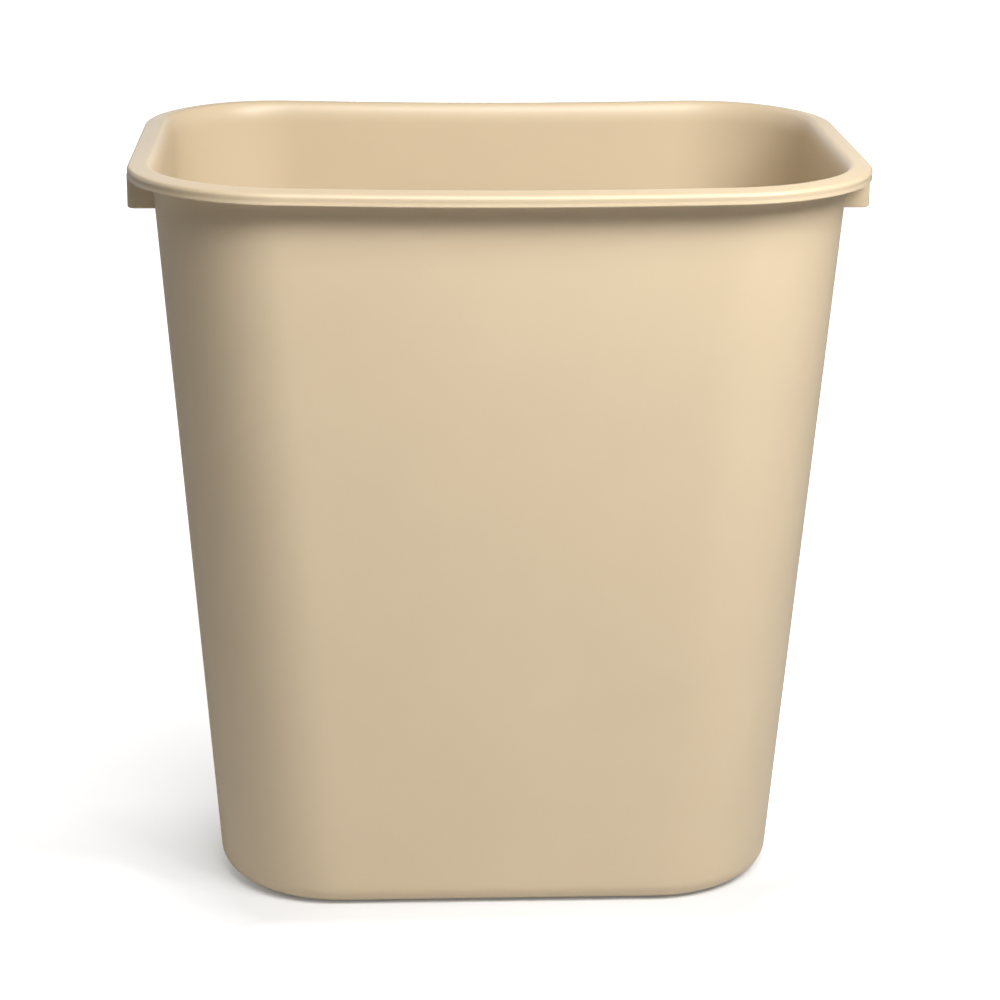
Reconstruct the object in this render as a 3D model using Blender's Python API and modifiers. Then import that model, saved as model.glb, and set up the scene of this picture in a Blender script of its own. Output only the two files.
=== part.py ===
"""Deskside wastebasket: a tapered, rounded-rectangular tub with a rolled rim and two handgrips.

The real object is one plastic moulding. Each region of it is its own object here, so that a
region can be named, weighed and finished by itself: tub_wall, floor_pan, rolled_rim,
left_handgrip and right_handgrip. Neighbouring regions keep a hairline gap to each other.

Metres, +Z up. The origin is on the ground under the middle of the tub, X runs along the
tub's long sides and Y across it.
"""

import math

import bmesh
import bpy
from mathutils import Vector

# Overall size
HEIGHT = 0.381
LENGTH = 0.3683
DEPTH = 0.2667

# Plan of the rim's outer edge: the handgrips' faces stand a little proud of its ends
GRIP_PROUD = 0.0007
RIM_HALF_X = LENGTH / 2 - GRIP_PROUD
RIM_HALF_Y = DEPTH / 2

# The wall's outer face tapers from below the rim's crown to the ground plane
RIM_OVERHANG = 0.0115
BASE_HALF_X = 0.1454
BASE_HALF_Y = 0.1050
WALL_CORNER = 0.0643
RIM_CORNER = WALL_CORNER + RIM_OVERHANG
WALL_THICKNESS = 0.0021

# The middle of each long side hangs a little lower at the rim than its ends do
SAG = 0.0018
SAG_REACH = 0.150

# Rim section, as distances in from its outer edge and down from its crown
CROWN_INSET = 0.0090
FLANGE_DROP = 0.0012
FLANGE_THICKNESS = 0.0020
FLANGE_EDGE_RADIUS = 0.0022
SKIRT_DROP = 0.0067
SKIRT_THICKNESS = 0.0018
ROLL_DROP = 0.0110
ROLL_STEPS = 7
UNDERSIDE_FILLET = 0.0020
RIM_SEAM_DROP = 0.0125

# Floor: a rounded lower edge, a flat foot ring and a raised middle
FLOOR_SEAM_HEIGHT = 0.0160
BASE_EDGE_RADIUS = 0.0105
BASE_EDGE_STEPS = 6
FOOT_WIDTH = 0.0090
FLOOR_RISE = 0.0030
FLOOR_STEP_WIDTH = 0.0030

# Handgrips: a deep skirt with a web at each end, open underneath for the fingers
GRIP_HALF_WIDTH = 0.0595
GRIP_BOTTOM = 0.3574
GRIP_THICKNESS = 0.0020
GRIP_END_RADIUS = 0.0045
GRIP_LOWER_RADIUS = 0.0012
GRIP_BEVEL_STEPS = 4
POCKET_HEIGHT = 0.0600

GAP = 0.0003
CORNER_STEPS = 10
LONG_SIDE_STEPS = 8

BEIGE = (0.66, 0.52, 0.36, 1.0)
ROUGHNESS = 0.42


def wall_half_sizes(height):
    """Half-length and half-depth of the wall's outer face at a height above the ground."""
    share = height / HEIGHT
    half_x = BASE_HALF_X + (RIM_HALF_X - RIM_OVERHANG - BASE_HALF_X) * share
    half_y = BASE_HALF_Y + (RIM_HALF_Y - RIM_OVERHANG - BASE_HALF_Y) * share
    return half_x, half_y


def sag_at(x, z):
    """How far a point of the moulding hangs below its level because of the long sides' sag."""
    middle = max(0.0, 1 - (x / SAG_REACH) ** 2)
    return SAG * middle**1.5 * z / HEIGHT


def plan_ring(half_x, half_y, corner, z):
    """Points of a rounded rectangle at one height, anticlockwise seen from above."""
    points = []
    for quarter, (side_x, side_y) in enumerate(((1, 1), (-1, 1), (-1, -1), (1, -1))):
        centre_x = side_x * (half_x - corner)
        centre_y = side_y * (half_y - corner)
        for step in range(CORNER_STEPS + 1):
            angle = math.pi / 2 * (quarter + step / CORNER_STEPS)
            points.append((centre_x + corner * math.cos(angle), centre_y + corner * math.sin(angle)))
        if quarter % 2 == 0:
            for step in range(1, LONG_SIDE_STEPS):
                share = step / LONG_SIDE_STEPS
                points.append((centre_x * (1 - 2 * share), side_y * half_y))
    return [Vector((x, y, z - sag_at(x, z))) for x, y in points]


def wall_ring(height, inward=0.0):
    """Ring on the wall's outer face, or at a distance inward from it."""
    half_x, half_y = wall_half_sizes(height)
    return plan_ring(half_x - inward, half_y - inward, WALL_CORNER - inward, height)


def rim_ring(inset, drop):
    """Ring of the rim at an inset from its outer edge and a drop below its crown."""
    return plan_ring(RIM_HALF_X - inset, RIM_HALF_Y - inset, RIM_CORNER - inset, HEIGHT - drop)


def loft(bm, rings, closed=False):
    """Joins neighbouring rings with quads. Rings that run upward on the outside face out."""
    rows = [[bm.verts.new(point) for point in ring] for ring in rings]
    following = rows[1:] + rows[:1] if closed else rows[1:]
    for lower, upper in zip(rows, following):
        for index in range(len(lower)):
            after = (index + 1) % len(lower)
            bm.faces.new((lower[index], lower[after], upper[after], upper[index]))
    return rows


def plastic(name):
    """The moulding's own plastic, as one material for each region."""
    material = bpy.data.materials.new(name + "_plastic")
    material.use_nodes = True
    shader = material.node_tree.nodes["Principled BSDF"]
    shader.inputs["Base Color"].default_value = BEIGE
    shader.inputs["Roughness"].default_value = ROUGHNESS
    shader.inputs["Metallic"].default_value = 0.0
    material.diffuse_color = BEIGE
    return material


def add_object(name, bm, collection):
    """Turns a bmesh into a named object with its own material."""
    mesh = bpy.data.meshes.new(name)
    bm.to_mesh(mesh)
    bm.free()
    mesh.shade_smooth()
    mesh.set_sharp_from_angle(angle=math.radians(35))
    mesh.materials.append(plastic(name))
    made = bpy.data.objects.new(name, mesh)
    collection.objects.link(made)
    return made


def solidify_inward(part, thickness):
    """Gives an open outer skin its wall thickness, on the side away from its normals."""
    shell = part.modifiers.new("wall_thickness", "SOLIDIFY")
    shell.thickness = thickness
    shell.offset = -1.0
    shell.use_even_offset = True
    shell.use_rim = True


def build_tub_wall(collection):
    """The four tapered sides, from the top of the floor pan to the foot of the rim's roll."""
    bm = bmesh.new()
    loft(bm, [wall_ring(FLOOR_SEAM_HEIGHT), wall_ring(HEIGHT - RIM_SEAM_DROP)])
    wall = add_object("tub_wall", bm, collection)
    solidify_inward(wall, WALL_THICKNESS)
    return wall


def build_floor_pan(collection):
    """The floor's underside as a skin, from its raised middle out to the wall, then thickened."""
    foot_inset = BASE_EDGE_RADIUS
    rings = [
        wall_ring(FLOOR_RISE, foot_inset + FOOT_WIDTH + FLOOR_STEP_WIDTH),
        wall_ring(0.0, foot_inset + FOOT_WIDTH),
    ]
    for step in range(BASE_EDGE_STEPS + 1):
        angle = math.pi / 2 * step / BASE_EDGE_STEPS
        height = BASE_EDGE_RADIUS * (1 - math.cos(angle))
        rings.append(wall_ring(height, BASE_EDGE_RADIUS * (1 - math.sin(angle))))
    rings.append(wall_ring(FLOOR_SEAM_HEIGHT - GAP))
    bm = bmesh.new()
    rows = loft(bm, rings)
    bm.faces.new(reversed(rows[0]))
    pan = add_object("floor_pan", bm, collection)
    solidify_inward(pan, WALL_THICKNESS)
    return pan


def flange_top_drop(inset):
    """Drop of the flange's sloping top face below the crown, at an inset from the outer edge."""
    return FLANGE_DROP * (1 - inset / CROWN_INSET)


def flange_under_drop(inset):
    return flange_top_drop(inset) + FLANGE_THICKNESS


def inner_wall_inset():
    """Inset of the wall's inner face from the rim's outer edge, where the roll runs into it."""
    half_x, _ = wall_half_sizes(HEIGHT - ROLL_DROP)
    return RIM_HALF_X - half_x + WALL_THICKNESS


def build_rolled_rim(collection):
    """The rim as one closed section carried round the tub: roll, sloping flange and skirt."""
    seam_height = HEIGHT - RIM_SEAM_DROP + GAP
    tilt = (wall_half_sizes(HEIGHT)[0] - BASE_HALF_X) / HEIGHT * WALL_THICKNESS
    fillet_inset = RIM_OVERHANG - UNDERSIDE_FILLET
    fillet_drop = flange_under_drop(fillet_inset)
    rings = [wall_ring(seam_height), wall_ring(HEIGHT - fillet_drop - UNDERSIDE_FILLET)]
    for angle in (math.radians(30), math.radians(60)):
        rings.append(
            rim_ring(
                fillet_inset + UNDERSIDE_FILLET * math.cos(angle),
                fillet_drop + UNDERSIDE_FILLET * (1 - math.sin(angle)),
            )
        )
    rings.append(rim_ring(fillet_inset, fillet_drop))
    rings.append(rim_ring(SKIRT_THICKNESS, flange_under_drop(SKIRT_THICKNESS)))
    rings.append(rim_ring(SKIRT_THICKNESS, SKIRT_DROP))
    rings.append(rim_ring(0.0, SKIRT_DROP))
    edge_drop = flange_top_drop(FLANGE_EDGE_RADIUS)
    for step in range(4):
        angle = math.pi / 2 * step / 3
        rings.append(
            rim_ring(
                FLANGE_EDGE_RADIUS * (1 - math.cos(angle)),
                edge_drop + FLANGE_EDGE_RADIUS * (1 - math.sin(angle)),
            )
        )
    roll_width = inner_wall_inset() - CROWN_INSET
    for step in range(ROLL_STEPS + 1):
        angle = math.pi / 2 * step / ROLL_STEPS
        rings.append(
            rim_ring(
                CROWN_INSET + roll_width * math.sin(angle),
                ROLL_DROP * (1 - math.cos(angle)),
            )
        )
    rings.append(wall_ring(seam_height + tilt, WALL_THICKNESS))
    bm = bmesh.new()
    loft(bm, rings, closed=True)
    return add_object("rolled_rim", bm, collection)


def grip_profile():
    """Side view of a grip's end web, from the wall out under the rim: points in X and Z."""
    outer_x = RIM_HALF_X + GRIP_PROUD
    skirt_bottom = HEIGHT - SKIRT_DROP - GAP
    behind_skirt = RIM_HALF_X - SKIRT_THICKNESS - GAP
    under_flange = HEIGHT - flange_under_drop(SKIRT_THICKNESS) - GAP
    fillet_start = HEIGHT - flange_under_drop(RIM_OVERHANG) - UNDERSIDE_FILLET
    return [
        (wall_half_sizes(GRIP_BOTTOM)[0] + GAP, GRIP_BOTTOM),
        (outer_x, GRIP_BOTTOM),
        (outer_x, skirt_bottom),
        (behind_skirt, skirt_bottom),
        (behind_skirt, under_flange),
        (RIM_HALF_X - RIM_OVERHANG + UNDERSIDE_FILLET, under_flange),
        (wall_half_sizes(fillet_start)[0] + GAP, fillet_start - GAP),
    ]


def round_edges(bm, test, radius):
    """Rounds the edges both of whose ends pass a test on their position."""
    bmesh.ops.bevel(
        bm,
        geom=[edge for edge in bm.edges if all(test(vert.co) for vert in edge.verts)],
        offset=radius,
        segments=GRIP_BEVEL_STEPS,
        affect="EDGES",
        profile=0.5,
    )


def add_finger_pocket(name, turn, collection):
    """Cutter for the space that the fingers reach into, between the wall and a grip's skirt."""
    outer_x = RIM_HALF_X + GRIP_PROUD - GRIP_THICKNESS
    inner_x = wall_half_sizes(GRIP_BOTTOM)[0] - WALL_THICKNESS
    end_y = GRIP_HALF_WIDTH - GRIP_THICKNESS
    bm = bmesh.new()
    bmesh.ops.create_cube(bm, size=1.0)
    bmesh.ops.scale(bm, vec=(outer_x - inner_x, 2 * end_y, POCKET_HEIGHT), verts=bm.verts)
    bmesh.ops.translate(bm, vec=((outer_x + inner_x) / 2, 0, GRIP_BOTTOM), verts=bm.verts)
    for side in (-1, 1):
        round_edges(
            bm,
            lambda co: co.x > outer_x - GAP and co.y * side > end_y - GAP,
            GRIP_END_RADIUS - GRIP_THICKNESS,
        )
    cutter = add_object(name + "_pocket", bm, collection)
    cutter.rotation_euler.z = turn
    cutter.hide_render = True
    cutter.display_type = "WIRE"
    return cutter


def build_handgrip(name, turn, collection, cutters):
    """A grip under one end of the rim. It is modelled at the +X end and turned to its own."""
    outer_x = RIM_HALF_X + GRIP_PROUD
    bm = bmesh.new()
    side_view = [bm.verts.new((x, GRIP_HALF_WIDTH, z)) for x, z in grip_profile()]
    web = bm.faces.new(side_view)
    extruded = bmesh.ops.extrude_face_region(bm, geom=[web])
    far_side = [item for item in extruded["geom"] if isinstance(item, bmesh.types.BMVert)]
    bmesh.ops.translate(bm, vec=(0, -2 * GRIP_HALF_WIDTH, 0), verts=far_side)
    bmesh.ops.recalc_face_normals(bm, faces=bm.faces)
    for side in (-1, 1):
        round_edges(
            bm,
            lambda co: co.x > outer_x - GAP and co.y * side > 0,
            GRIP_END_RADIUS,
        )
    round_edges(
        bm,
        lambda co: co.x > outer_x - GRIP_END_RADIUS - GAP and co.z < GRIP_BOTTOM + GAP,
        GRIP_LOWER_RADIUS,
    )
    grip = add_object(name, bm, collection)
    grip.rotation_euler.z = turn
    hollow = grip.modifiers.new("finger_pocket", "BOOLEAN")
    hollow.operation = "DIFFERENCE"
    hollow.object = add_finger_pocket(name, turn, cutters)
    return grip


def main():
    for existing in list(bpy.data.objects):
        bpy.data.objects.remove(existing, do_unlink=True)
    parts = bpy.data.collections.new("wastebasket")
    cutters = bpy.data.collections.new("cutters")
    for collection in (parts, cutters):
        bpy.context.scene.collection.children.link(collection)
    build_tub_wall(parts)
    build_floor_pan(parts)
    build_rolled_rim(parts)
    build_handgrip("right_handgrip", 0.0, parts, cutters)
    build_handgrip("left_handgrip", math.pi, parts, cutters)


main()
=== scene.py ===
"""Looks of the deskside wastebasket: the moulding's fine surface, its plastic, and a studio whose
floor has a painted shadow round the tub.

Every piece is one region of the moulding and stands for one CAD node. Sizes and places are
read from the CAD nodes' boxes. What a box can't tell, such as a wall thickness or a corner
radius, is a named length in metres, as in the design.
"""

import math

import bmesh
import bpy
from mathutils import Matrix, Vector


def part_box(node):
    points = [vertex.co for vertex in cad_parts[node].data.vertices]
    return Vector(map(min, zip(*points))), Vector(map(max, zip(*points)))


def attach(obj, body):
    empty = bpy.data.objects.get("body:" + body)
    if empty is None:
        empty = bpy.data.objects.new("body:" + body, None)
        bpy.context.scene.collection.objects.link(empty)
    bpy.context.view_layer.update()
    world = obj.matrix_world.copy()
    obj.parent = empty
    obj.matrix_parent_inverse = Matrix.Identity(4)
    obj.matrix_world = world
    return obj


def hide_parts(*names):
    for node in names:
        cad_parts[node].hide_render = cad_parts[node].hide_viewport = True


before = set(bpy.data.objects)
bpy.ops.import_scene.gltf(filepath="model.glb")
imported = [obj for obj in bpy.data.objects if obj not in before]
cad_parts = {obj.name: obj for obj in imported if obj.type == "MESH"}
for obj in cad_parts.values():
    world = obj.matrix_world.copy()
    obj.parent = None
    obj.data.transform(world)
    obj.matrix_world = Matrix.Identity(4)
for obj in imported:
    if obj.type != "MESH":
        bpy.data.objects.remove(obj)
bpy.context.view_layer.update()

BODY = "root"

# Overall sizes, from the CAD nodes
RIM_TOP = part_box("rolled_rim")[1]
HEIGHT = RIM_TOP.z
RIM_HALF_X = RIM_TOP.x
RIM_HALF_Y = RIM_TOP.y
GRIP_LOW, GRIP_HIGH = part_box("right_handgrip")
GRIP_OUTER_X = GRIP_HIGH.x
GRIP_HALF_WIDTH = GRIP_HIGH.y
GRIP_BOTTOM = GRIP_LOW.z

# Wall: thickness, corner and the heights at which its nodes meet
WALL_THICKNESS = 0.0021
WALL_CORNER = 0.0643
RIM_OVERHANG = 0.0115
RIM_CORNER = WALL_CORNER + RIM_OVERHANG
RIM_SEAM_DROP = 0.0125
FLOOR_SEAM_HEIGHT = 0.0160
NODE_GAP = 0.0003

# The long sides hang a little lower in the middle
SAG = 0.0018
SAG_REACH = 0.150

# Rim section, as insets from its outer edge and drops below its crown
CROWN_INSET = 0.0090
CROWN_BLEND = 0.0012
FLANGE_DROP = 0.0012
FLANGE_THICKNESS = 0.0020
FLANGE_EDGE_RADIUS = 0.0022
SKIRT_DROP = 0.0067
SKIRT_THICKNESS = 0.0018
SKIRT_INSET = 0.00025
LIP_RADIUS = 0.0006
ROLL_DROP = 0.0110
UNDERSIDE_FILLET = 0.0020
SKIRT_FILLET = 0.0008

# Floor and underside
BASE_EDGE_RADIUS = 0.0105
FOOT_WIDTH = 0.0090
FOOT_ROUNDING = 0.0010
FLOOR_RISE = 0.0030
FLOOR_STEP_WIDTH = 0.0030
GATE_DIMPLE_RADIUS = 0.0110
GATE_DIMPLE_DEPTH = 0.0006
GATE_STUB_RADIUS = 0.0022
GATE_STUB_HEIGHT = 0.0005
FLOOR_RING_SHARES = (0.12, 0.3, 0.5, 0.7, 0.88)

# Handgrips
GRIP_THICKNESS = 0.0020
GRIP_END_RADIUS = 0.0045
GRIP_LOWER_RADIUS = 0.0009
GRIP_TOP_RADIUS = 0.0005
WALL_BITE = 0.00015

# Plastic
BEIGE = (0.655, 0.524, 0.352)
SIDE_ROUGHNESS = 0.43
RIM_ROUGHNESS = 0.37
POLISH_BLEND = 0.030
SMEAR_ROUGHNESS = 0.06
SMEAR_SCALE = 38.0
MOTTLE_SCALE = 14.0
MOTTLE_SHADES = (0.98, 1.015)
PLASTIC_IOR = 1.50
GRAIN_SIZE = 0.0008
GRAIN_DEPTH = 0.00003

# Studio
FLOOR_HALF_WIDTH = 12.0
PAPER_WHITE = 0.73
PAPER_ROUGHNESS = 0.9
# What the camera sees of the paper's own glow: (metres, brightness), along Y and round the tub. The
# glow is dimmest close round the tub and just in front of its base, which paints part of the soft
# shadow there.
PAINTED_GLOW_AND_SHADOW_ALONG_Y = (
    (-0.1328, 0.36),
    (-0.1184, 0.15),
    (-0.0896, 0.14),
    (-0.0624, 0.28),
    (0.0288, 0.65),
    (0.1792, 0.90),
    (0.4600, 1.0),
)
PAINTED_GLOW_AND_SHADOW_ROUND_TUB = ((0.160, 0.10), (0.205, 0.38), (0.270, 0.44), (0.600, 0.85), (0.950, 1.0))
# Softboxes: name, azimuth (0 in front, 90 at +X), elevation, distance, width and height, watts
SOFTBOXES = (
    ("key", 40, 44, 1.1, (0.42, 0.42), 9.2),
    ("high_fill", 5, 56, 1.1, (0.42, 0.42), 4.9),
    ("front_fill", 10, 45, 2.2, (0.9, 0.9), 8.1),
    ("left_fill", -75, 25, 3.0, (1.6, 1.6), 1.2),
    ("back_fill", 205, 35, 3.0, (1.6, 1.6), 9.0),
    ("backdrop", 180, 8, 4.0, (3.5, 1.8), 27.0),
    ("left_backdrop", 240, 8, 4.0, (3.5, 1.8), 26.0),
    ("right_backdrop", 120, 8, 4.0, (3.5, 1.8), 10.0),
)

# Mesh fineness
CORNER_STEPS = 28
LONG_SIDE_STEPS = 24
SHORT_SIDE_STEPS = 10
WALL_STEPS = 16
ROLL_STEPS = 14
ROUND_STEPS = 6
SHARP_ANGLE = math.radians(38)


def taper(low, high, height):
    """Value at a height on the straight line through two (height, value) pairs."""
    share = (height - low[0]) / (high[0] - low[0])
    return low[1] + (high[1] - low[1]) * share


PAN_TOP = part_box("floor_pan")[1]
WALL_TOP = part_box("tub_wall")[1]
PAN_TOP_HEIGHT = FLOOR_SEAM_HEIGHT - NODE_GAP
WALL_TOP_HEIGHT = HEIGHT - RIM_SEAM_DROP


def wall_half_sizes(height):
    """Half-length and half-depth of the wall's outer face at a height."""
    half_x = taper((PAN_TOP_HEIGHT, PAN_TOP.x), (WALL_TOP_HEIGHT, WALL_TOP.x), height)
    half_y = taper((PAN_TOP_HEIGHT, PAN_TOP.y), (WALL_TOP_HEIGHT, WALL_TOP.y), height)
    return half_x, half_y


def sag_at(x, z):
    """How far a point hangs below its level because of the long sides' sag."""
    middle = max(0.0, 1 - (x / SAG_REACH) ** 2)
    return SAG * middle**1.5 * z / HEIGHT


def along(start, end, steps):
    """Points between two plan points, without the ends."""
    return [start.lerp(end, step / steps) for step in range(1, steps)]


def plan_ring(half_x, half_y, corner, z):
    """Points of a rounded rectangle at one height, anticlockwise seen from above."""
    plan = []
    sides = ((1, 1), (-1, 1), (-1, -1), (1, -1))
    for quarter, (side_x, side_y) in enumerate(sides):
        centre = Vector((side_x * (half_x - corner), side_y * (half_y - corner)))
        for step in range(CORNER_STEPS + 1):
            angle = math.pi / 2 * (quarter + step / CORNER_STEPS)
            plan.append(centre + corner * Vector((math.cos(angle), math.sin(angle))))
        last = plan[-1]
        if quarter % 2 == 0:
            plan += along(last, Vector((-last.x, last.y)), LONG_SIDE_STEPS)
        else:
            plan += along(last, Vector((last.x, -last.y)), SHORT_SIDE_STEPS)
    return [Vector((point.x, point.y, z - sag_at(point.x, z))) for point in plan]


def wall_ring(height, inward=0.0):
    """Ring on the wall's outer face, or at a distance inward from it."""
    half_x, half_y = wall_half_sizes(height)
    return plan_ring(half_x - inward, half_y - inward, WALL_CORNER - inward, height)


def rim_ring(inset, drop):
    """Ring of the rim at an inset from its outer edge and a drop below its crown."""
    return plan_ring(RIM_HALF_X - inset, RIM_HALF_Y - inset, RIM_CORNER - inset, HEIGHT - drop)


def round_ring(template, radius, z):
    """A circle round the origin with one point for each point of another ring."""
    points = []
    for point in template:
        direction = Vector((point.x, point.y)).normalized()
        points.append(Vector((radius * direction.x, radius * direction.y, z)))
    return points


def between(first, last, share):
    """The ring part of the way from one ring to another."""
    return [start.lerp(end, share) for start, end in zip(first, last)]


def loft(bm, rings, closed=False):
    """Joins neighbouring rings with quads. Rings that run upward on the outside face out."""
    rows = [[bm.verts.new(point) for point in ring] for ring in rings]
    following = rows[1:] + rows[:1] if closed else rows[1:]
    for lower, upper in zip(rows, following):
        for index in range(len(lower)):
            after = (index + 1) % len(lower)
            bm.faces.new((lower[index], lower[after], upper[after], upper[index]))
    return rows


def arc(centre, radius, start, end, steps):
    """Points (inset, drop) or (x, z) along an arc, its angles in degrees."""
    points = []
    for step in range(steps + 1):
        angle = math.radians(start + (end - start) * step / steps)
        points.append((centre[0] + radius * math.cos(angle), centre[1] + radius * math.sin(angle)))
    return points


def finish_piece(name, bm, node, material):
    """Makes a bmesh a visible piece that rides on the body and stands for a CAD node."""
    mesh = bpy.data.meshes.new(name)
    bm.to_mesh(mesh)
    bm.free()
    mesh.shade_smooth()
    mesh.set_sharp_from_angle(angle=SHARP_ANGLE)
    mesh.materials.append(material)
    piece = bpy.data.objects.new(name, mesh)
    bpy.context.scene.collection.objects.link(piece)
    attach(piece, BODY)
    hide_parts(node)
    return piece


def make_tub_wall(material):
    """The four tapered sides as one closed shell, between its seams with the floor and the rim."""
    heights = [
        FLOOR_SEAM_HEIGHT + (WALL_TOP_HEIGHT - FLOOR_SEAM_HEIGHT) * step / WALL_STEPS
        for step in range(WALL_STEPS + 1)
    ]
    outside = [wall_ring(height) for height in heights]
    inside = [wall_ring(height, WALL_THICKNESS) for height in reversed(heights)]
    bm = bmesh.new()
    loft(bm, outside + inside, closed=True)
    return finish_piece("tub_wall_surface", bm, "tub_wall", material)


def underside_rings():
    """The underside from its centre out to the foot ring: gate mark, raised floor and step."""
    step_inset = BASE_EDGE_RADIUS + FOOT_WIDTH
    floor_edge = wall_ring(FLOOR_RISE, step_inset + FLOOR_STEP_WIDTH)
    dimple_top = FLOOR_RISE + GATE_DIMPLE_DEPTH
    stub_low = dimple_top - GATE_STUB_HEIGHT
    rings = [
        round_ring(floor_edge, GATE_STUB_RADIUS * 0.80, stub_low),
        round_ring(floor_edge, GATE_STUB_RADIUS, stub_low + GATE_STUB_HEIGHT * 0.4),
        round_ring(floor_edge, GATE_STUB_RADIUS, dimple_top),
        round_ring(floor_edge, GATE_DIMPLE_RADIUS * 0.93, dimple_top),
        round_ring(floor_edge, GATE_DIMPLE_RADIUS, FLOOR_RISE),
    ]
    for share in FLOOR_RING_SHARES:
        rings.append(between(rings[4], floor_edge, share))
    rings.append(floor_edge)
    rings.append(wall_ring(FOOT_ROUNDING, step_inset + FOOT_ROUNDING))
    rings.append(wall_ring(FOOT_ROUNDING * 0.3, step_inset + FOOT_ROUNDING * 0.3))
    rings.append(wall_ring(0.0, step_inset - FOOT_ROUNDING))
    return rings


def base_edge_rings(thickness, upward):
    """The quarter-round lower edge, on the outer face or a thickness inside it."""
    radius = BASE_EDGE_RADIUS - thickness
    rings = []
    for step in range(2 * ROUND_STEPS + 1):
        angle = math.pi / 2 * step / (2 * ROUND_STEPS)
        height = BASE_EDGE_RADIUS - radius * math.cos(angle)
        rings.append(wall_ring(height, BASE_EDGE_RADIUS - radius * math.sin(angle)))
    return rings if upward else rings[::-1]


def make_floor_pan(material):
    """Underside, foot ring, rounded lower edge and inner floor as one closed shell."""
    outside = underside_rings() + base_edge_rings(0.0, upward=True) + [wall_ring(FLOOR_SEAM_HEIGHT)]
    inner_edge = base_edge_rings(WALL_THICKNESS, upward=False)
    inside = [wall_ring(FLOOR_SEAM_HEIGHT, WALL_THICKNESS)] + inner_edge
    inner_height = FLOOR_RISE + WALL_THICKNESS
    raised_edge = wall_ring(inner_height, BASE_EDGE_RADIUS + FOOT_WIDTH)
    centre = round_ring(raised_edge, GATE_STUB_RADIUS, inner_height)
    inside.append(wall_ring(WALL_THICKNESS, BASE_EDGE_RADIUS + FOOT_WIDTH - FLOOR_STEP_WIDTH))
    inside.append(raised_edge)
    for share in (0.2, 0.4, 0.6, 0.8):
        inside.append(between(raised_edge, centre, share))
    inside.append(centre)
    bm = bmesh.new()
    rows = loft(bm, outside + inside)
    bm.faces.new(reversed(rows[0]))
    bm.faces.new(rows[-1])
    return finish_piece("floor_pan_surface", bm, "floor_pan", material)


def flange_top_drop(inset):
    """Drop of the flange's sloping top below the crown."""
    return FLANGE_DROP * (1 - inset / CROWN_INSET)


def flange_under_drop(inset):
    """Drop of the flange's underside below the crown."""
    return flange_top_drop(inset) + FLANGE_THICKNESS


def skirt_section():
    """Skirt from the flange's underside, down inside, round the lip and up outside."""
    inner = SKIRT_THICKNESS
    corner_drop = flange_under_drop(inner)
    points = arc((inner + SKIRT_FILLET, corner_drop + SKIRT_FILLET), SKIRT_FILLET, 270, 180, 3)
    points += arc((2 * LIP_RADIUS, SKIRT_DROP - LIP_RADIUS), LIP_RADIUS, 0, 90, 3)
    points += arc((LIP_RADIUS, SKIRT_DROP - LIP_RADIUS), LIP_RADIUS, 90, 180, 4)
    points.append((SKIRT_INSET, SKIRT_DROP - 2.2 * LIP_RADIUS))
    points.append((SKIRT_INSET, FLANGE_EDGE_RADIUS + FLANGE_DROP + 3 * SKIRT_INSET))
    return points


def flange_section():
    """Flange's rounded outer edge and its slope up to the crown."""
    edge_drop = flange_top_drop(FLANGE_EDGE_RADIUS)
    centre = (FLANGE_EDGE_RADIUS, edge_drop + FLANGE_EDGE_RADIUS)
    points = arc(centre, FLANGE_EDGE_RADIUS, 180, 262, ROUND_STEPS)
    points.append((CROWN_INSET * 0.5, flange_top_drop(CROWN_INSET * 0.5)))
    points.append((CROWN_INSET - CROWN_BLEND, flange_top_drop(CROWN_INSET - CROWN_BLEND)))
    return points


def inner_roll_rings():
    """The roll from the crown down to the wall's inner face, which it meets without a kink."""
    roll_width = RIM_OVERHANG + WALL_THICKNESS - CROWN_INSET
    rings = []
    for step in range(ROLL_STEPS + 1):
        angle = math.pi / 2 * step / ROLL_STEPS
        drop = ROLL_DROP * (1 - math.cos(angle))
        outward = roll_width * (1 - math.sin(angle))
        rings.append(wall_ring(HEIGHT - drop, WALL_THICKNESS - outward))
    return rings


def make_rolled_rim(material):
    """The rim's closed section carried round the tub."""
    fillet_inset = RIM_OVERHANG - UNDERSIDE_FILLET
    fillet_drop = flange_under_drop(fillet_inset)
    centre = (fillet_inset, fillet_drop + UNDERSIDE_FILLET)
    rings = [wall_ring(WALL_TOP_HEIGHT), wall_ring(HEIGHT - centre[1])]
    section = arc(centre, UNDERSIDE_FILLET, -15, -90, ROUND_STEPS)
    section += skirt_section()
    section += flange_section()
    rings += [rim_ring(inset, drop) for inset, drop in section]
    rings += inner_roll_rings()
    rings.append(wall_ring(WALL_TOP_HEIGHT, WALL_THICKNESS))
    bm = bmesh.new()
    loft(bm, rings, closed=True)
    return finish_piece("rolled_rim_surface", bm, "rolled_rim", material)


def grip_stations():
    """Plan points of a grip's outer face and their inward directions, from web to web.

    A station at the wall is marked, since its x follows the wall's slope.
    """
    straight_end = GRIP_OUTER_X - GRIP_END_RADIUS
    wall_x = wall_half_sizes(GRIP_BOTTOM)[0]
    stations = [(None, GRIP_HALF_WIDTH, Vector((0, -1)))]
    for share in (0.35, 0.7, 1.0):
        x = wall_x + (straight_end - wall_x) * share
        stations.append((x, GRIP_HALF_WIDTH, Vector((0, -1))))
    centre = (straight_end, GRIP_HALF_WIDTH - GRIP_END_RADIUS)
    for x, y in arc(centre, GRIP_END_RADIUS, 90, 0, 2 * ROUND_STEPS)[1:]:
        outward = Vector((x - centre[0], y - centre[1])) / GRIP_END_RADIUS
        stations.append((x, y, -outward))
    mirrored = [(x, -y, Vector((inward.x, -inward.y))) for x, y, inward in reversed(stations)]
    for point in along(Vector((GRIP_OUTER_X, centre[1])), Vector((GRIP_OUTER_X, -centre[1])), 16):
        stations.append((point.x, point.y, Vector((-1, 0))))
    return stations + mirrored


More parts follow.
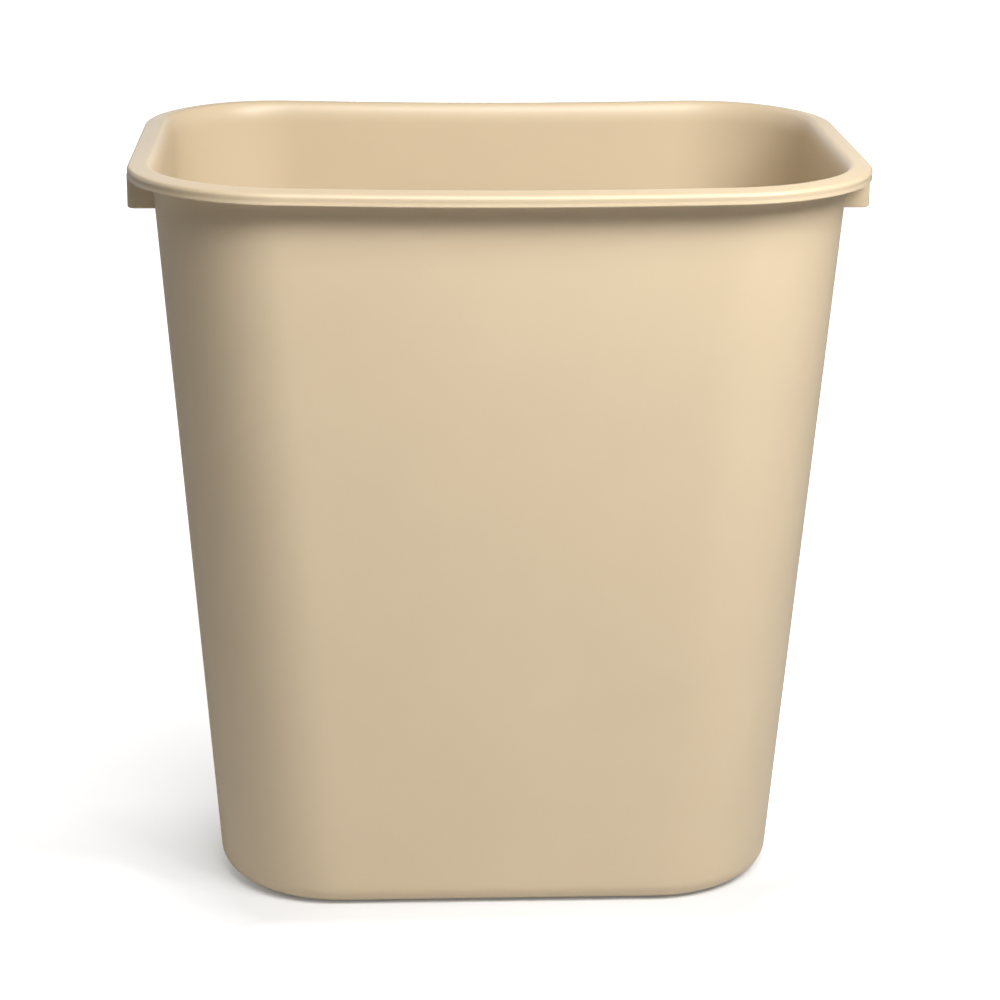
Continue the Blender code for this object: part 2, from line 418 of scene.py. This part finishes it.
def grip_section():
    """A grip's wall in section: (depth in from its outer face, height) points, as a loop.

    The outer face starts under the rim's lip. The end webs run on up to the flange.
    """
    top = HEIGHT - SKIRT_DROP + 0.5 * LIP_RADIUS
    low = GRIP_BOTTOM
    radius = GRIP_LOWER_RADIUS
    points = arc((GRIP_TOP_RADIUS, top - GRIP_TOP_RADIUS), GRIP_TOP_RADIUS, 90, 180, 3)
    points += arc((radius, low + radius), radius, 180, 270, 4)
    points += arc((GRIP_THICKNESS - radius, low + radius), radius, 270, 360, 4)
    points.append((GRIP_THICKNESS, top))
    points.append((GRIP_THICKNESS - 0.5 * GRIP_TOP_RADIUS, top))
    return points


def make_handgrip(side_name, side, material):
    """A deep skirt with two end webs, open below, grown out of one end of the rim."""
    section = grip_section()
    web_top = HEIGHT - FLANGE_DROP - 0.5 * FLANGE_THICKNESS
    skirt_back = RIM_HALF_X - 0.5 * SKIRT_THICKNESS
    bm = bmesh.new()
    rows = []
    for x, y, inward in grip_stations():
        row = []
        for depth, z in section:
            if x is None:
                at_x = wall_half_sizes(z)[0] - WALL_BITE
            else:
                at_x = x + inward.x * depth
            at_z = web_top if z > HEIGHT - 2 * SKIRT_DROP and at_x < skirt_back else z
            row.append(bm.verts.new((side * at_x, side * (y + inward.y * depth), at_z)))
        rows.append(row)
    for before, after in zip(rows, rows[1:]):
        for index in range(len(before)):
            following = (index + 1) % len(before)
            bm.faces.new((before[index], before[following], after[following], after[index]))
    bm.faces.new(rows[0])
    bm.faces.new(rows[-1])
    bmesh.ops.recalc_face_normals(bm, faces=bm.faces)
    name = side_name + "_handgrip"
    return finish_piece(name + "_surface", bm, name, material)


def node(tree, kind, **inputs):
    """A shader node with some of its inputs set by name."""
    made = tree.nodes.new(kind)
    for name, value in inputs.items():
        made.inputs[name.replace("_", " ")].default_value = value
    return made


def make_plastic():
    """Moulded polyethylene: faint flow mottling, uneven gloss and a fine moulded grain.

    The rim is a little more polished than the sides, as its part of the mould is.
    """
    material = bpy.data.materials.new("moulded_polyethylene")
    material.use_nodes = True
    tree = material.node_tree
    link = tree.links.new
    shader = tree.nodes["Principled BSDF"]
    shader.inputs["IOR"].default_value = PLASTIC_IOR
    where = tree.nodes.new("ShaderNodeTexCoord")

    mottle = node(tree, "ShaderNodeTexNoise", Scale=MOTTLE_SCALE, Detail=3.0, Roughness=0.55)
    link(where.outputs["Object"], mottle.inputs["Vector"])
    tint = tree.nodes.new("ShaderNodeValToRGB")
    for stop, place, shade in zip(tint.color_ramp.elements, (0.30, 0.70), MOTTLE_SHADES):
        stop.position = place
        stop.color = [channel * shade for channel in BEIGE] + [1.0]
    link(mottle.outputs["Fac"], tint.inputs["Fac"])
    link(tint.outputs["Color"], shader.inputs["Base Color"])

    height = tree.nodes.new("ShaderNodeSeparateXYZ")
    link(where.outputs["Object"], height.inputs["Vector"])
    blend_start = WALL_TOP_HEIGHT - POLISH_BLEND
    polish = node(tree, "ShaderNodeMapRange", From_Min=blend_start, From_Max=WALL_TOP_HEIGHT)
    polish.inputs["To Min"].default_value = SIDE_ROUGHNESS
    polish.inputs["To Max"].default_value = RIM_ROUGHNESS
    link(height.outputs["Z"], polish.inputs["Value"])
    smear = node(tree, "ShaderNodeTexNoise", Scale=SMEAR_SCALE, Detail=4.0, Roughness=0.6)
    link(where.outputs["Object"], smear.inputs["Vector"])
    gloss = node(tree, "ShaderNodeMath")
    gloss.operation = "MULTIPLY_ADD"
    link(smear.outputs["Fac"], gloss.inputs[0])
    gloss.inputs[1].default_value = SMEAR_ROUGHNESS
    link(polish.outputs["Result"], gloss.inputs[2])
    link(gloss.outputs["Value"], shader.inputs["Roughness"])

    grain = node(tree, "ShaderNodeTexNoise", Scale=1.0 / GRAIN_SIZE, Detail=2.0, Roughness=0.5)
    link(where.outputs["Object"], grain.inputs["Vector"])
    texture = node(tree, "ShaderNodeBump", Strength=1.0, Distance=GRAIN_DEPTH)
    link(grain.outputs["Fac"], texture.inputs["Height"])
    link(texture.outputs["Normal"], shader.inputs["Normal"])
    return material


def glow_along(tree, distance, stops):
    """Brightness that follows a distance through a few (metres, brightness) stops."""
    start, end = stops[0][0], stops[-1][0]
    share = node(tree, "ShaderNodeMapRange", From_Min=start, From_Max=end)
    tree.links.new(distance, share.inputs["Value"])
    ramp = tree.nodes.new("ShaderNodeValToRGB")
    elements = ramp.color_ramp.elements
    while len(elements) < len(stops):
        elements.new(0.5)
    for element, (metres, level) in zip(elements, stops):
        element.position = (metres - start) / (end - start)
        element.color = (level, level, level, 1.0)
    tree.links.new(share.outputs["Result"], ramp.inputs["Fac"])
    return ramp.outputs["Color"]


def math_node(tree, operation, first, second):
    """The output of a Math node that takes two other outputs."""
    made = tree.nodes.new("ShaderNodeMath")
    made.operation = operation
    tree.links.new(first, made.inputs[0])
    tree.links.new(second, made.inputs[1])
    return made.outputs["Value"]


def make_paper():
    """White studio paper that glows, to the camera only, more and more with distance from the tub.

    The glow is dimmer close round the tub and in front of its base, so part of the soft shadow
    round the tub is painted shadow, not cast. Being only seen, the glow leaves what the paper
    throws back at the tub plain.
    """
    material = bpy.data.materials.new("floor_paper")
    material.use_nodes = True
    tree = material.node_tree
    shader = tree.nodes["Principled BSDF"]
    shader.inputs["Base Color"].default_value = (PAPER_WHITE, PAPER_WHITE, PAPER_WHITE, 1.0)
    shader.inputs["Roughness"].default_value = PAPER_ROUGHNESS
    shader.inputs["Specular IOR Level"].default_value = 0.0
    shader.inputs["Emission Color"].default_value = (1.0, 1.0, 1.0, 1.0)
    where = tree.nodes.new("ShaderNodeTexCoord")
    place = tree.nodes.new("ShaderNodeSeparateXYZ")
    tree.links.new(where.outputs["Object"], place.inputs["Vector"])
    radius = tree.nodes.new("ShaderNodeVectorMath")
    radius.operation = "LENGTH"
    tree.links.new(where.outputs["Object"], radius.inputs[0])
    # Painted shadow: the paper's glow is turned down near the tub and in front of its base
    behind = glow_along(tree, place.outputs["Y"], PAINTED_GLOW_AND_SHADOW_ALONG_Y)
    around = glow_along(tree, radius.outputs["Value"], PAINTED_GLOW_AND_SHADOW_ROUND_TUB)
    glow_and_painted_shadow = math_node(tree, "MAXIMUM", behind, around)
    ray = tree.nodes.new("ShaderNodeLightPath")
    seen = math_node(tree, "MULTIPLY", glow_and_painted_shadow, ray.outputs["Is Camera Ray"])
    tree.links.new(seen, shader.inputs["Emission Strength"])
    return material


def make_floor():
    """A wide, pale floor, whose glow paints part of the shadow round the tub."""
    bm = bmesh.new()
    bmesh.ops.create_grid(bm, x_segments=8, y_segments=8, size=FLOOR_HALF_WIDTH)
    mesh = bpy.data.meshes.new("studio_floor")
    bm.to_mesh(mesh)
    bm.free()
    floor = bpy.data.objects.new("studio_floor", mesh)
    bpy.context.scene.collection.objects.link(floor)
    mesh.materials.append(make_paper())
    return floor


def add_softbox(name, azimuth, elevation, distance, size, power):
    """An area light that is aimed at the middle of the tub and isn't seen itself."""
    target = Vector((0, 0, HEIGHT / 2))
    turn = math.radians(azimuth)
    lift = math.radians(elevation)
    direction = Vector(
        (math.sin(turn) * math.cos(lift), -math.cos(turn) * math.cos(lift), math.sin(lift))
    )
    light = bpy.data.lights.new(name, "AREA")
    light.shape = "RECTANGLE"
    light.size, light.size_y = size
    light.energy = power
    lamp = bpy.data.objects.new(name, light)
    lamp.location = target + direction * distance
    lamp.rotation_euler = direction.to_track_quat("Z", "Y").to_euler()
    lamp.visible_camera = False
    bpy.context.scene.collection.objects.link(lamp)


def make_lighting():
    """Softboxes all round, before a white surround that is seen but throws no light."""
    world = bpy.data.worlds.new("studio")
    world.use_nodes = True
    background = world.node_tree.nodes["Background"]
    background.inputs["Color"].default_value = (1.0, 1.0, 1.0, 1.0)
    background.inputs["Strength"].default_value = 1.0
    bpy.context.scene.world = world
    world.cycles_visibility.diffuse = False
    world.cycles_visibility.glossy = False
    for name, azimuth, elevation, distance, size, power in SOFTBOXES:
        add_softbox(name, azimuth, elevation, distance, size, power)


# Camera: direction and distance from a point near the middle of the tub
CAMERA_YAW = -2.948
CAMERA_ELEVATION = 17.727
CAMERA_ROLL = 0.506
CAMERA_DISTANCE = 1.4498
CAMERA_AIM_ACROSS = 0.00383
CAMERA_AIM_HEIGHT = 0.18693
CAMERA_LENS = 97.605
CAMERA_SENSOR = 36.0


def make_camera():
    """The photo's viewpoint."""
    yaw = math.radians(CAMERA_YAW)
    lift = math.radians(CAMERA_ELEVATION)
    back = Vector((math.sin(yaw) * math.cos(lift), -math.cos(yaw) * math.cos(lift), math.sin(lift)))
    target = Vector(
        (CAMERA_AIM_ACROSS * math.cos(yaw), CAMERA_AIM_ACROSS * math.sin(yaw), CAMERA_AIM_HEIGHT)
    )
    data = bpy.data.cameras.new("camera")
    data.lens = CAMERA_LENS
    data.sensor_width = CAMERA_SENSOR
    camera = bpy.data.objects.new("camera", data)
    camera.location = target + back * CAMERA_DISTANCE
    camera.rotation_euler = back.to_track_quat("Z", "Y").to_euler()
    bpy.context.scene.collection.objects.link(camera)
    bpy.context.view_layer.update()
    camera.rotation_euler.rotate_axis("Z", math.radians(CAMERA_ROLL))
    bpy.context.scene.camera = camera
    bpy.context.scene.view_settings.view_transform = "Standard"


plastic = make_plastic()
make_tub_wall(plastic)
make_floor_pan(plastic)
make_rolled_rim(plastic)
make_handgrip("right", 1, plastic)
make_handgrip("left", -1, plastic)
make_floor()
make_lighting()
make_camera()
